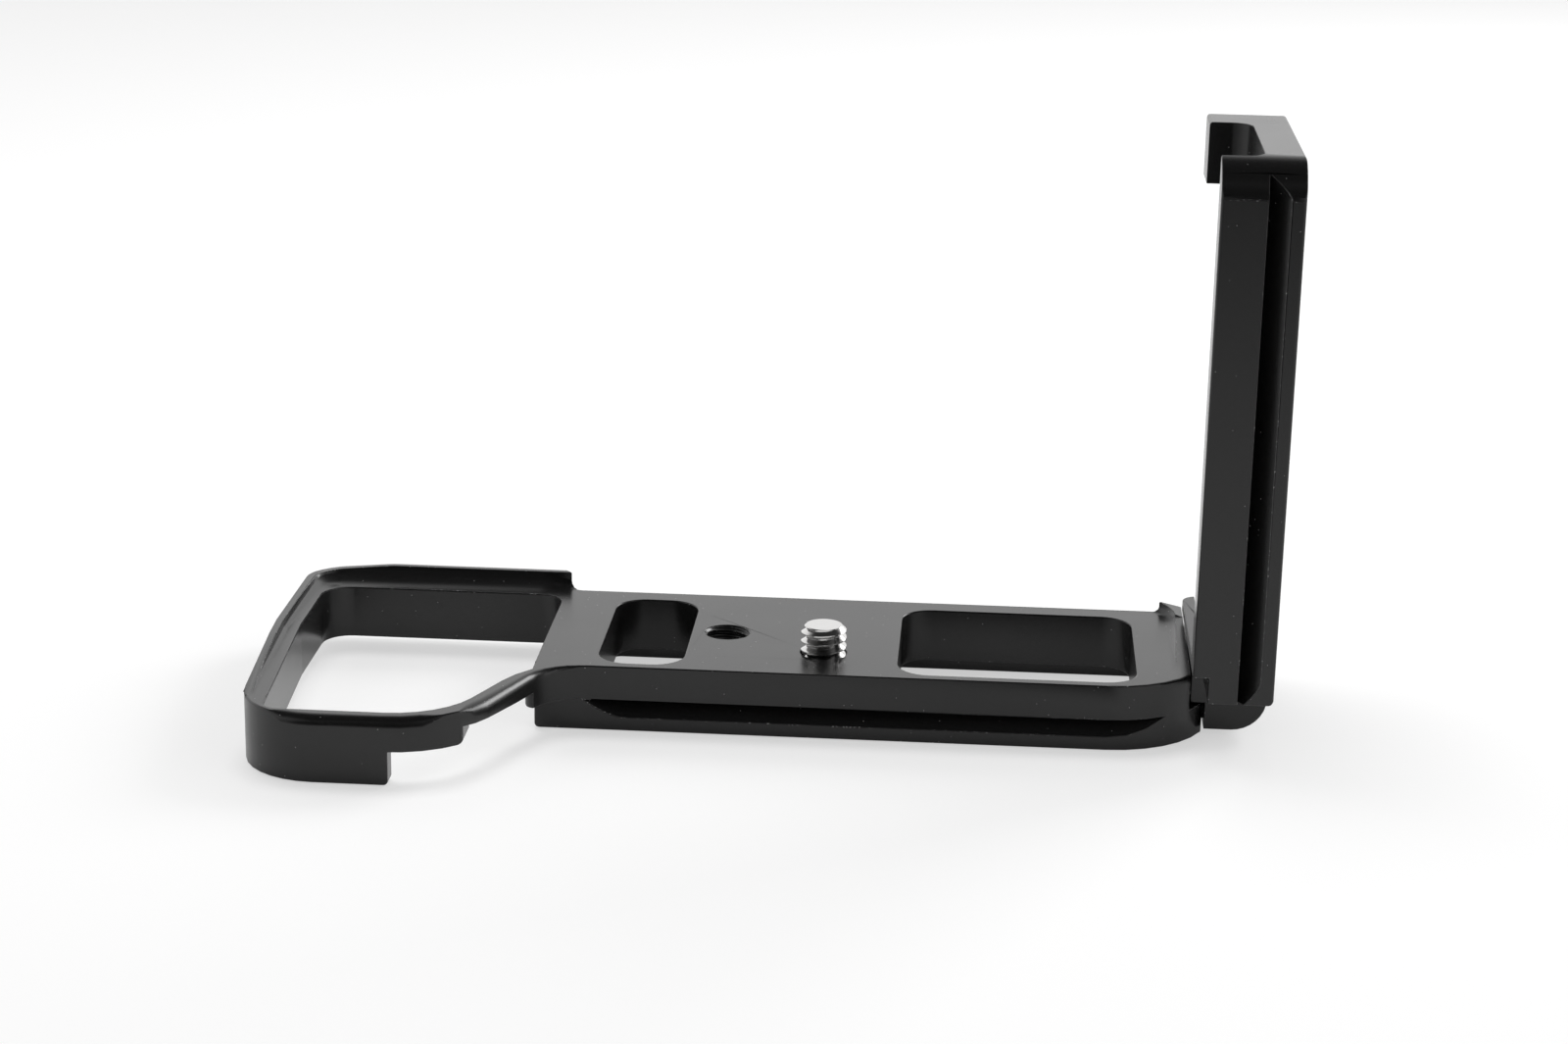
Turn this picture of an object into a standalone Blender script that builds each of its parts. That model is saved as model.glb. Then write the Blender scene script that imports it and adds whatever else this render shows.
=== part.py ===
"""Camera L-bracket: a base plate with a battery-door frame, a sliding side plate and a captive camera screw.

Units are metres, +Z is up, +X runs towards the side plate and +Y away from the lens side.
The origin lies under the middle of the deck's depth, on the plane that the bracket stands on, a little to the
left of the camera screw's axis.
"""
import math

import bmesh
import bpy
from mathutils import Matrix, Vector

# Base plate: deck and rails
DECK_TOP = 0.0093            # thickness of the deck
DECK_HALF = 0.0170           # half the deck's depth
RAIL_WIDTH = 0.0380          # standard dovetail, measured over both flanks
RAIL_CEILING = 0.00435       # height of the groove's flat ceiling
RAIL_LIP = 0.00185           # upright edge under the 45 degree flank
BASE_RIGHT = 0.05335         # end of the lower rail, where the foot of the side plate begins
FLANGE = 0.0020              # the lower rail runs this far past the deck
DECK_RIGHT = BASE_RIGHT - FLANGE
SEAT_LENGTH = 0.09035        # from the deck's right end to the battery-door opening
DECK_LEFT = DECK_RIGHT - SEAT_LENGTH
REAR_RAIL_SHORT = 0.0054     # the rail behind the deck stops short of the base's right end
RAIL_REAR_RIGHT = BASE_RIGHT - REAR_RAIL_SHORT
EDGE_BREAK = 0.0002          # small round on the deck's edges

# Round at the front right corner
CORNER_INSET = 0.0039        # from the base's right end to where the slanting end begins
CORNER_DEEP = 0.0091         # the slanting end's extent along Y
CORNER_RADIUS = 0.0146
CORNER_EDGE = 0.0003         # radius where the slanting end meets the right end
CORNER_BREAK = 0.0006        # width of the top edge's round on the corner
CORNER_START = BASE_RIGHT - CORNER_INSET
CORNER_END = CORNER_DEEP - DECK_HALF

# Slot and window
FRONT_STRIP = 0.0017         # deck in front of the openings
REAR_STRIP = 0.0034          # deck behind them
OPENING_FRONT = FRONT_STRIP - DECK_HALF
OPENING_REAR = DECK_HALF - REAR_STRIP
OPENING_RADIUS = 0.0044
SLOT_INSET = 0.0083          # from the battery-door opening to the slot
SLOT_LENGTH = 0.01195
SLOT_LEFT = DECK_LEFT + SLOT_INSET
SLOT_RIGHT = SLOT_LEFT + SLOT_LENGTH
WINDOW_INSET = 0.00745       # from the window to the deck's right end
WINDOW_LENGTH = 0.0330
WINDOW_RIGHT = DECK_RIGHT - WINDOW_INSET
WINDOW_LEFT = WINDOW_RIGHT - WINDOW_LENGTH
LEDGE_DEPTH = 0.0031         # the openings' front walls step in by this, behind the groove
LEDGE_HIGH = 0.00115         # and the step stands this far above the groove's ceiling

# Shallow hollows under the deck, round each opening
RELIEF_DEPTH = 0.0017
RELIEF_REACH = 0.0008        # how far they run past the openings' ends
RELIEF_BACK = 0.0010         # and past the openings' rear walls
RELIEF_FRONT = 0.0004        # the hollows begin this far behind the step in the front walls
RELIEF_RADIUS = 0.0010

# Front dovetail groove
GROOVE_INSET = 0.0130        # from the battery-door opening to where the cutter stops
GROOVE_START = DECK_LEFT + GROOVE_INSET
GROOVE_TOOL = 0.0092         # radius of that cutter

# Battery-door frame, the ring at the left of the deck
FRAME_LENGTH = 0.03835       # from the battery-door opening's right wall to the frame's left side
FRAME_TAPER = 0.00185        # the left side slants inwards by this
FRAME_KINK_DEEP = 0.0110     # and the slant begins this far behind the deck's front face
FRAME_REACH = 0.0246         # the frame runs this far in front of the deck
FRAME_PROUD = 0.0026         # and this far behind it
FRAME_BACK_WALL = 0.0053
FRAME_LEFT_WALL = 0.0031
FRAME_LEFT = DECK_LEFT - FRAME_LENGTH
FRAME_LEFT_FRONT = FRAME_LEFT + FRAME_TAPER
FRAME_KINK = FRAME_KINK_DEEP - DECK_HALF
FRAME_FRONT = -DECK_HALF - FRAME_REACH
FRAME_BACK = DECK_HALF + FRAME_PROUD
FRAME_BACK_RADIUS = 0.0050
FRAME_KINK_RADIUS = 0.0110
FRAME_FRONT_RADIUS = 0.0110
FRAME_STEP_OUT_INSET = 0.0017
FRAME_STEP = 0.0018          # run of the step between the frame's back wall and the deck
FRAME_STEP_OUT = DECK_LEFT + FRAME_STEP_OUT_INSET
FRAME_STEP_IN = FRAME_STEP_OUT - FRAME_STEP
FRAME_STEP_RADIUS = 0.0013
FRAME_WALL = 0.0028          # thickness of the front wall and the arm
ARM_INSET = 0.0025           # arm's outer face, on the deck's front line
ARM_RUN = 0.0099             # the arm's run along X on its way to the frame's front line
ARM_START = DECK_LEFT + ARM_INSET
ARM_END = ARM_START - ARM_RUN
ARM_INNER_RADIUS = 0.0080
ARM_OUTER_RADIUS = 0.0139
ARM_FILLET = 0.0015          # round on the outer top edge of the arm
OPEN_TAPER = 0.0022          # the opening's left wall slants inwards by this
OPEN_LEFT_BACK = FRAME_LEFT + FRAME_LEFT_WALL
OPEN_LEFT_FRONT = OPEN_LEFT_BACK + OPEN_TAPER
OPEN_BACK = FRAME_BACK - FRAME_BACK_WALL
OPEN_CORNER_REACH = 0.0020   # the opening's right wall ends this far in front of the deck
OPEN_CORNER = -DECK_HALF - OPEN_CORNER_REACH
OPEN_BEND_RUN = 0.0024       # from there, the arm's inner face bends over this run
OPEN_BEND = OPEN_CORNER - OPEN_BEND_RUN
OPEN_BEND_RADIUS = 0.0160
OPEN_KINK_DEEP = 0.0130      # the slant begins this far behind the deck's front face
OPEN_KINK = OPEN_KINK_DEEP - DECK_HALF
OPEN_BACK_RADIUS = 0.0034
OPEN_LEFT_RADIUS = 0.0042
OPEN_FRONT_RADIUS = 0.0020

# Underside of the frame's front wall and of the arm, which is cut away in steps
ARM_THICK = 0.0023           # thin arm beside the deck
MID_THICK = 0.0047           # half-height stretch in front of it
STEP_ARM_Z = DECK_TOP - ARM_THICK
STEP_MID_Z = DECK_TOP - MID_THICK
STEP_MID_INSET = 0.0008      # right end of the half-height stretch, from the arm's outer corner
STEP_MID_LENGTH = 0.00935
STEP_MID_END = ARM_END + STEP_MID_INSET
STEP_LOW_END = STEP_MID_END - STEP_MID_LENGTH
STEP_LOW_ROUND = 0.0006
STEP_MID_ROUND = 0.00075
ARM_THICKER = 0.0004         # the arm is thicker by this where it meets the boss at its root
BOSS_DEEP = 0.00485          # underside of the boss, below the deck's top
BOSS_BOTTOM = DECK_TOP - BOSS_DEEP
BOSS_OVERHANG = 0.0008       # the boss begins this far left of the rail
BOSS_LEFT = DECK_LEFT - BOSS_OVERHANG
BOSS_REACH = 0.0049          # and runs this far in front of the deck
BOSS_FRONT = -DECK_HALF - BOSS_REACH
BOSS_RADIUS = 0.0017
BOSS_ROUND = 0.0005
RAIL_END_ROUND = 0.00065     # round on the lower left corner of the rail
FRAME_FOOT = 0.0126          # the frame stands on the ground up to this far from its front
FRAME_GROUND_BACK = FRAME_FRONT + FRAME_FOOT

# Raised lip that the camera body sits against
LIP_WIDTH = 0.0011
HAIR = 0.00003               # faces that would lie in one plane are kept this far apart
LIP_FILLET = 0.0007
SCOOP_WIDE = 0.0038          # hollow that rises to the back lip
SCOOP_DEEP = 0.0020
SIDE_SCOOP_WIDE = 0.0015     # hollow that rises to the right lip
SIDE_SCOOP_DEEP = 0.0012
LIP_BACK = 0.0022            # height of the lip behind the frame
LIP_LEFT = 0.0013            # height of the lip along the left wall
DROP_START_INSET = 0.0122    # the back lip starts to drop this far from the frame's left side
DROP_END_INSET = 0.0022      # and has the left wall's height here
DROP_RADIUS = 0.0200
SCOOP_START_INSET = 0.0021   # the wide scoop starts to narrow this far from the frame's back
SCOOP_END_INSET = 0.0116     # and is a plain fillet from here
FADE_START_INSET = 0.0296    # the left lip starts to die away this far from the frame's front
FADE_END_INSET = 0.0071      # and is level with the frame here
DROP_START = FRAME_LEFT + DROP_START_INSET
DROP_END = FRAME_LEFT + DROP_END_INSET
SCOOP_START = FRAME_BACK - SCOOP_START_INSET
SCOOP_END = FRAME_BACK - SCOOP_END_INSET
LIP_FADE_START = FRAME_FRONT + FADE_START_INSET
LIP_FADE_END = FRAME_FRONT + FADE_END_INSET

# Lip at the deck's right end, with a hook round the back corner
LIP_RIGHT = 0.0009           # height of the lip where the hook begins
LIP_HOOK = 0.0016            # height of the hook
HOOK_DROP = 0.00065          # the hook is lower by this at its right end
HOOK_RADIUS = 0.0062
HOOK_LENGTH = 0.0030         # extent of the hook along X
HOOK_TIP = DECK_RIGHT - HOOK_LENGTH
RISE_INSET = 0.0076          # the lip starts to rise this far behind the deck's front face
HOOK_START_INSET = 0.0050    # the hook starts this far in front of the deck's back face
HOOK_FULL_INSET = 0.0015     # and has its full height here
RIGHT_RISE = RISE_INSET - DECK_HALF
HOOK_START = DECK_HALF - HOOK_START_INSET
HOOK_FULL = DECK_HALF - HOOK_FULL_INSET

# Camera screw, 1/4 inch
SCREW_X = 0.0004
SCREW_INSET = 0.0098         # from the deck's front face to the screw's axis
SCREW_Y = SCREW_INSET - DECK_HALF
SCREW_RADIUS = 0.003175
SCREW_CLEAR = 0.0001         # between the screw and its bore
SCREW_PROUD = 0.00405        # how far the screw stands above the deck
SCREW_TIP = DECK_TOP + SCREW_PROUD
SCREW_TIP_CHAMFER = 0.00065
SCREW_HEAD_RADIUS = 0.0050
SCREW_HEAD_HIGH = 0.0024
SCREW_HEAD_EDGE = 0.0004
SCREW_SOCKET_WIDTH = 0.0040
SCREW_SOCKET_DEPTH = 0.0016
SCREW_ROOF = 0.0038          # deck above the screw's head
SCREW_SEAT = DECK_TOP - SCREW_ROOF
BORE_CLEAR = 0.0003
SNAP_RING_HIGH = 0.0008
SNAP_RING_WIDE = 0.0013
SNAP_RING_GAP = 0.0030
SNAP_GROOVE_DEEP = 0.0005

# Threaded tripod hole beside the screw
HOLE_INSET = 0.0253          # from the battery-door opening to the hole's axis
HOLE_X = DECK_LEFT + HOLE_INSET
HOLE_RADIUS = 0.0029
HOLE_CHAMFER = 0.0004

# Side plate, from its inner face outwards
FIT = 0.0003                 # running clearance between the two plates
PAD_PROUD = 0.00023          # the pad that touches the camera's side stands past the deck's end
PLATE_INNER = DECK_RIGHT - PAD_PROUD
PLATE_STEP = BASE_RIGHT + FIT        # inner face below the pad, and of the foot
WALL_INSET = 0.0058          # from the pad to the wall of the pocket and the notch
PLATE_WALL = PLATE_INNER + WALL_INSET
CEILING_INSET = 0.0062       # from the pad to the flat ceiling of the dovetail groove
PLATE_CEILING = PLATE_INNER + CEILING_INSET
PLATE_GROOVE = 0.0030        # width of the groove's opening
PLATE_LIP = 0.0019           # upright edge outside the 45 degree flank
PLATE_OUTER = PLATE_CEILING + PLATE_GROOVE + PLATE_LIP
PLATE_PROUD = 0.0012         # the plate stands this far in front of the deck
PLATE_FRONT = -DECK_HALF - PLATE_PROUD
PLATE_TOP = 0.08205
PLATE_GAP = 0.00335          # from the rail's ceiling up to the plate's lower edge
PLATE_BOTTOM = RAIL_CEILING + PLATE_GAP
PAD_GAP = 0.00205            # from the deck's top up to the pad's lower edge
PAD_BOTTOM = DECK_TOP + PAD_GAP
BAR_DEPTH = 0.0047           # front bar, measured along Y
BAR_RADIUS = 0.0005
PLATE_RADIUS = 0.0005
PLATE_TOP_ROUND = 0.00045
PLATE_LOW_ROUND = 0.0008
POCKET_RADIUS = 0.0020
FINGER_DEPTH = 0.0076        # finger behind the strap-lug notch
FINGER_HIGH = 0.0086
FINGER_RADIUS = 0.0028
PLATE_TOOL = 0.0046          # radius of the cutter for the upright dovetail
PLATE_GROOVE_TOP = 0.00525   # its last position, below the plate's top
PLATE_GROOVE_LOW = 0.0034    # and its first, above the plate's lower edge
SILL_GAP = 0.0036            # from the deck's top up to the top of the plate's lower bar
SILL_TOP = DECK_TOP + SILL_GAP
SILL_FULL = 0.0216           # the bar is full width this far behind the deck's front face
SILL_MID = SILL_FULL - DECK_HALF
SILL_SHORT = 0.0030          # the bar ends this far in front of the deck's back face
SILL_BACK = DECK_HALF - SILL_SHORT
SILL_NOSE = 0.0018           # thickness of the bar behind that
SILL_RADIUS = 0.0024
SHOULDER_DROP = 0.0039       # the block between the bar and the dovetail plate is lower by this
SHOULDER_TOP = SILL_TOP - SHOULDER_DROP
CORNER_ROOM = 0.0080         # the pad is cut back this far behind the deck's front face
SILL_FRONT = CORNER_ROOM - DECK_HALF
FOOT_INSET = 0.0080          # from the deck's front face to the foot
FOOT_FRONT = FOOT_INSET - DECK_HALF
FOOT_SHORT = 0.0030          # from the foot to the deck's back face
FOOT_BACK = DECK_HALF - FOOT_SHORT
FOOT_RADIUS = 0.0048
FOOT_LOW = 0.0008            # the foot ends this far above the ground
TONGUE_SHOULDER = 0.0040     # the tongue is narrower than the foot by this at the front
TONGUE_FRONT = FOOT_FRONT + TONGUE_SHOULDER
TONGUE_WIDTH = 0.0160
TONGUE_BACK = TONGUE_FRONT + TONGUE_WIDTH
TONGUE_LENGTH = 0.0090
TONGUE_TIP = PLATE_STEP - TONGUE_LENGTH
TONGUE_STEP = 0.0002         # from the foot's underside up to the tongue's
TONGUE_LOW = FOOT_LOW + TONGUE_STEP
TONGUE_THICK = 0.0042
TONGUE_HIGH = TONGUE_LOW + TONGUE_THICK
TONGUE_RADIUS = 0.0010

# Clamp screws, M3, from below through the tongue into the deck
CLAMP_INSET = 0.0036         # from the tongue's tip to the screws' axes
CLAMP_X = TONGUE_TIP + CLAMP_INSET
CLAMP_SPACING = 0.0080
CLAMP_RADIUS = 0.0015
CLAMP_CLEAR = 0.0003
CLAMP_HEAD_RADIUS = 0.00275
CLAMP_HEAD_HIGH = 0.0018
CLAMP_HEAD_EDGE = 0.0002
CLAMP_SOCKET_WIDTH = 0.0020
CLAMP_SOCKET_DEPTH = 0.0010
CLAMP_ROOF = 0.0006          # deck above the clamp screws' holes
CLAMP_HOLE_TOP = DECK_TOP - CLAMP_ROOF
CLAMP_TIP_GAP = 0.0005
CLAMP_TIP = CLAMP_HOLE_TOP - CLAMP_TIP_GAP
CLAMP_SINK = 0.0003          # the heads lie this far inside the tongue
CLAMP_HEAD_BASE = TONGUE_LOW + CLAMP_SINK
WASHER_HIGH = 0.0005
WASHER_GAP = 0.0003

OVERRUN = 0.0010             # how far a cut runs past the face that it opens
WELD = 0.000001              # points closer than this are one

# Numbers that aren't lengths
ARC_STEPS = 8                # facets in a quarter turn of an outline
ROUND_STEPS = 48             # facets of a turned piece
EDGE_SEGMENTS = 3            # facets across an edge's round
HEX_SIDES = 6
SHARP_ANGLE = 25             # degrees between two facets that still look smooth
INNER_ROUND_SHARE = 0.25     # round on the arm's inner top edge, of its outer one

ANODISED = ((0.022, 0.022, 0.023, 1.0), 0.42, 0.35)
STEEL = ((0.62, 0.62, 0.61, 1.0), 0.22, 1.0)
SPRING_STEEL = ((0.20, 0.20, 0.21, 1.0), 0.35, 1.0)


def clear_scene():
    for old in list(bpy.data.objects):
        bpy.data.objects.remove(old, do_unlink=True)


def new_collection(name):
    group = bpy.data.collections.new(name)
    bpy.context.scene.collection.children.link(group)
    return group


def new_material(name, look):
    colour, roughness, metallic = look
    material = bpy.data.materials.new(name)
    material.use_nodes = True
    shader = material.node_tree.nodes["Principled BSDF"]
    shader.inputs["Base Color"].default_value = colour
    shader.inputs["Roughness"].default_value = roughness
    shader.inputs["Metallic"].default_value = metallic
    return material


def rounded(corners):
    """Points of a closed outline, from corners given as (x, y, radius) in order."""
    points = []
    count = len(corners)
    for index, (x, y, radius) in enumerate(corners):
        here = Vector((x, y))
        before = (Vector(corners[index - 1][:2]) - here).normalized()
        after = (Vector(corners[(index + 1) % count][:2]) - here).normalized()
        if radius == 0:
            points.append(here)
            continue
        between = before.angle(after)
        turn = math.pi - between
        reach = radius / math.tan(between / 2)
        start = here + before * reach
        centre = here + (before + after).normalized() * (radius / math.sin(between / 2))
        side = 1 if before.cross(after) < 0 else -1
        steps = max(2, round(ARC_STEPS * turn / (math.pi / 2)))
        arm = start - centre
        for step in range(steps + 1):
            points.append(centre + Matrix.Rotation(side * turn * step / steps, 2) @ arm)
    return points


def rectangle(left, right, front, back, radius):
    places = [(left, front), (right, front), (right, back), (left, back)]
    return rounded([(x, y, radius) for x, y in places])


def circle(x, y, radius, steps=ROUND_STEPS):
    turns = [2 * math.pi * step / steps for step in range(steps)]
    return [Vector((x + radius * math.cos(turn), y + radius * math.sin(turn))) for turn in turns]


def signed_area(loop):
    return sum(loop[index - 1].cross(loop[index]) for index in range(len(loop))) / 2


def miter(loop, index):
    """Direction into the area at a point of a counter-clockwise loop, for an offset of one on both sides."""
    here = loop[index]
    before = (here - loop[index - 1]).normalized()
    after = (loop[(index + 1) % len(loop)] - here).normalized()
    left = Vector((-before.y, before.x)) + Vector((-after.y, after.x))
    return left.normalized() * (2 / left.length)


def moved_in(loop, distance):
    return [point + miter(loop, index) * distance for index, point in enumerate(loop)]


def sharp(point):
    return 0, 0


def prism(name, loops, low, high, group, top_round=sharp):
    """A flat outline and its holes, given a thickness.

    top_round(point) gives how far the round of the top edge reaches in from the side and down from the top.
    """
    work = bmesh.new()
    for number, loop in enumerate(loops):
        loop = list(loop) if signed_area(loop) > 0 else list(reversed(loop))
        side = 1 if number == 0 else -1
        rings = [[work.verts.new((*point, low)) for point in loop]]
        for level in range(EDGE_SEGMENTS + 1):
            turn = math.pi / 2 * level / EDGE_SEGMENTS
            ring = []
            for index, point in enumerate(loop):
                wide, deep = top_round(point)
                moved = point + miter(loop, index) * (side * wide * (1 - math.cos(turn)))
                ring.append(work.verts.new((*moved, high - deep * (1 - math.sin(turn)))))
            rings.append(ring)
        for lower, upper in zip(rings, rings[1:]):
            for index in range(len(loop)):
                work.faces.new((lower[index - 1], lower[index], upper[index], upper[index - 1]))
    bmesh.ops.remove_doubles(work, verts=work.verts, dist=WELD)
    for height in (low, high):
        rim = [edge for edge in work.edges if len(edge.link_faces) == 1
               and abs(edge.verts[0].co.z - height) < WELD and abs(edge.verts[1].co.z - height) < WELD]
        bmesh.ops.triangle_fill(work, use_beauty=True, use_dissolve=False, edges=rim)
    bmesh.ops.recalc_face_normals(work, faces=work.faces)
    if work.calc_volume(signed=True) < 0:
        bmesh.ops.reverse_faces(work, faces=work.faces)
    mesh = bpy.data.meshes.new(name)
    work.to_mesh(mesh)
    work.free()
    piece = bpy.data.objects.new(name, mesh)
    group.objects.link(piece)
    return piece


def box(name, low, high, group):
    work = bmesh.new()
    bmesh.ops.create_cube(work, size=1)
    for vertex in work.verts:
        vertex.co = [far if place > 0 else near for place, near, far in zip(vertex.co, low, high)]
    mesh = bpy.data.meshes.new(name)
    work.to_mesh(mesh)
    work.free()
    piece = bpy.data.objects.new(name, mesh)
    group.objects.link(piece)
    return piece


def turned(name, profile, group):
    """A solid of revolution about Z, from (radius, height) points read down its outer side."""
    mesh = bpy.data.meshes.new(name)
    mesh.from_pydata([(radius, 0, height) for radius, height in profile],
                     [(step, step + 1) for step in range(len(profile) - 1)], [])
    piece = bpy.data.objects.new(name, mesh)
    group.objects.link(piece)
    screw = piece.modifiers.new("turn", "SCREW")
    screw.axis = "Z"
    screw.angle = 2 * math.pi
    screw.steps = ROUND_STEPS
    screw.render_steps = ROUND_STEPS
    screw.use_merge_vertices = True
    screw.merge_threshold = WELD
    return piece


def tapered_pass(name, start, end, wide, taper, group):
    """Space swept by a 45 degree dovetail cutter that moves from start to end.

    The wide face lies at local z = 0 and the cutter narrows by its depth, taper, below it.
    """
    rings = []
    for height, radius in ((0, wide), (-taper, wide - taper)):
        ring = []
        for centre, first in ((end, -math.pi / 2), (start, math.pi / 2)):
            for step in range(2 * ARC_STEPS + 1):
                turn = first + math.pi * step / (2 * ARC_STEPS)
                ring.append((centre + radius * math.cos(turn), radius * math.sin(turn), height))
        rings.append(ring)
    work = bmesh.new()
    top = [work.verts.new(place) for place in rings[0]]
    low = [work.verts.new(place) for place in rings[1]]
    work.faces.new(top)
    work.faces.new(list(reversed(low)))
    count = len(top)
    for index in range(count):
        after = (index + 1) % count
        work.faces.new((low[index], low[after], top[after], top[index]))
    mesh = bpy.data.meshes.new(name)
    work.to_mesh(mesh)
    work.free()
    piece = bpy.data.objects.new(name, mesh)
    group.objects.link(piece)
    return piece


def combine(piece, other, operation):
    change = piece.modifiers.new(other.name, "BOOLEAN")
    change.operation = operation
    change.solver = "EXACT"
    change.object = other
    other.hide_render = True
    other.display_type = "WIRE"


def settle(piece):
    """Applies a piece's modifiers, so that the piece can be shaped further."""
    bpy.context.view_layer.update()
    shaped = bpy.data.meshes.new_from_object(piece.evaluated_get(bpy.context.evaluated_depsgraph_get()))
    shaped.name = piece.name
    piece.modifiers.clear()
    piece.data = shaped


def place(piece, pivot):
    """Puts a piece's origin at its pivot without moving the piece."""
    piece.data.transform(Matrix.Translation(-Vector(pivot)))
    piece.location = pivot


def finish(piece, material):
    piece.data.materials.clear()
    piece.data.materials.append(material)
    piece.data.shade_smooth()
    piece.data.set_sharp_from_angle(angle=math.radians(SHARP_ANGLE))


def frame_wall_shift():
    """How far the arm's inner face lies from its outer one, along X and Y."""
    run = Vector((ARM_END - ARM_START, FRAME_FRONT + DECK_HALF)).normalized()
    return Vector((run.y, -run.x)) * FRAME_WALL


def arm_inner_x(y):
    """X of the arm's inner face at a given Y."""
    shift = frame_wall_shift()
    share = (y - shift.y + DECK_HALF) / (FRAME_FRONT + DECK_HALF)
    return ARM_START + shift.x + share * (ARM_END - ARM_START)


def outer_outline():
    return rounded([
        (CORNER_START, -DECK_HALF, CORNER_RADIUS),
        (BASE_RIGHT, CORNER_END, CORNER_EDGE),
        (BASE_RIGHT, DECK_HALF, FRAME_STEP_RADIUS),
        (FRAME_STEP_OUT, DECK_HALF, FRAME_STEP_RADIUS),
        (FRAME_STEP_IN, FRAME_BACK, FRAME_STEP_RADIUS),
        (FRAME_LEFT, FRAME_BACK, FRAME_BACK_RADIUS),
        (FRAME_LEFT, FRAME_KINK, FRAME_KINK_RADIUS),
        (FRAME_LEFT_FRONT, FRAME_FRONT, FRAME_FRONT_RADIUS),
        (ARM_END, FRAME_FRONT, ARM_OUTER_RADIUS),
        (ARM_START, -DECK_HALF, ARM_INNER_RADIUS),
    ])


def battery_outline():
    front = FRAME_FRONT + FRAME_WALL
    return rounded([
        (DECK_LEFT, OPEN_CORNER, 0),
        (DECK_LEFT, OPEN_BACK, OPEN_BACK_RADIUS),
        (OPEN_LEFT_BACK, OPEN_BACK, OPEN_LEFT_RADIUS),
        (OPEN_LEFT_BACK, OPEN_KINK, FRAME_KINK_RADIUS),
        (OPEN_LEFT_FRONT, front, OPEN_FRONT_RADIUS),
        (arm_inner_x(front), front, ARM_OUTER_RADIUS - FRAME_WALL),
        (arm_inner_x(OPEN_BEND), OPEN_BEND, OPEN_BEND_RADIUS),
    ])


def footprint_outline(inset):
    """The camera's own outline on the bracket, drawn in from the lip's outer side by inset."""
    slant = (FRAME_LEFT_FRONT - FRAME_LEFT) / (FRAME_FRONT - FRAME_KINK)
    far = FRAME_FRONT - FRAME_WALL
    back = FRAME_BACK - inset
    return rounded([
        (DECK_RIGHT - inset, far, 0),
        (DECK_RIGHT - inset, back, HOOK_RADIUS),
        (DECK_RIGHT - inset - 2 * HOOK_RADIUS, back, 0),
        (ARM_START, back, 0),
        (FRAME_STEP_IN - SCOOP_WIDE, back, 0),
        (FRAME_LEFT + inset, back, FRAME_BACK_RADIUS - inset),
        (FRAME_LEFT + inset, FRAME_KINK, FRAME_KINK_RADIUS),
        (FRAME_LEFT + inset + slant * (far - FRAME_KINK), far, 0),
    ])


def share_between(value, low, high):
    return min(1, max(0, (value - low) / (high - low)))


def seat_round(point):
    """Round at the foot of the lip: wide behind the frame, narrower at the right, else a small fillet."""
    wide, deep, share = LIP_FILLET, LIP_FILLET, 0
    if point.x < FRAME_STEP_IN - SCOOP_WIDE / 2:
        wide, deep = SCOOP_WIDE, SCOOP_DEEP
        share = share_between(point.y, SCOOP_END, SCOOP_START)
    elif point.x > HOOK_TIP - HOOK_LENGTH:
        wide, deep = SIDE_SCOOP_WIDE, SIDE_SCOOP_DEEP
        share = share_between(point.x, HOOK_TIP - LIP_WIDTH, DECK_RIGHT - LIP_WIDTH)
    return LIP_FILLET + (wide - LIP_FILLET) * share, LIP_FILLET + (deep - LIP_FILLET) * share


def arm_share(point):
    """1 on the frame's arm and front wall, 0 on the deck and under the lip, and between them a fade."""
    if point.y > LIP_FADE_END and point.x < OPEN_LEFT_FRONT:
        return 0
    if point.x < OPEN_LEFT_FRONT:
        return min(1, (LIP_FADE_END - point.y) / (LIP_FADE_END - FRAME_FRONT - FRAME_WALL))
    if point.y > FRAME_WALL / 2 - DECK_HALF:
        return 0
    return min(1, max(0, (ARM_START + ARM_INNER_RADIUS / 2 - point.x) / ARM_INNER_RADIUS))


def on_arm_inside(point):
    """Whether a point of the outline lies on the inner side of the arm or of the frame's front wall."""
    in_front = point.y > FRAME_FRONT + FRAME_WALL / 2
    beside_arm = abs(point.x - arm_inner_x(point.y)) < FRAME_WALL / 2 and point.y < OPEN_CORNER + EDGE_BREAK
    return in_front and (beside_arm or point.y < FRAME_FRONT + 2 * FRAME_WALL)


def base_top_round(point):
    """Round of the base plate's top edge at a point of its outline."""
    behind = point.y > DECK_HALF - FRAME_STEP_RADIUS and point.x < FRAME_STEP_OUT + 2 * FRAME_STEP_RADIUS
    beside = point.x < OPEN_LEFT_BACK - LIP_WIDTH and point.y > LIP_FADE_END
    under_right_lip = point.x > HOOK_TIP - HOOK_LENGTH and point.y > RIGHT_RISE
    if behind or beside or under_right_lip:
        return 0, 0
    if point.x > CORNER_START - CORNER_DEEP and point.y < RIGHT_RISE:
        share = share_between(point.x, CORNER_START - CORNER_DEEP, CORNER_START)
        wide = EDGE_BREAK + (CORNER_BREAK - EDGE_BREAK) * share
        return wide, wide / 2
    full = ARM_FILLET * (INNER_ROUND_SHARE if on_arm_inside(point) else 1)
    radius = EDGE_BREAK + (full - EDGE_BREAK) * arm_share(point)
    return radius, radius


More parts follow.
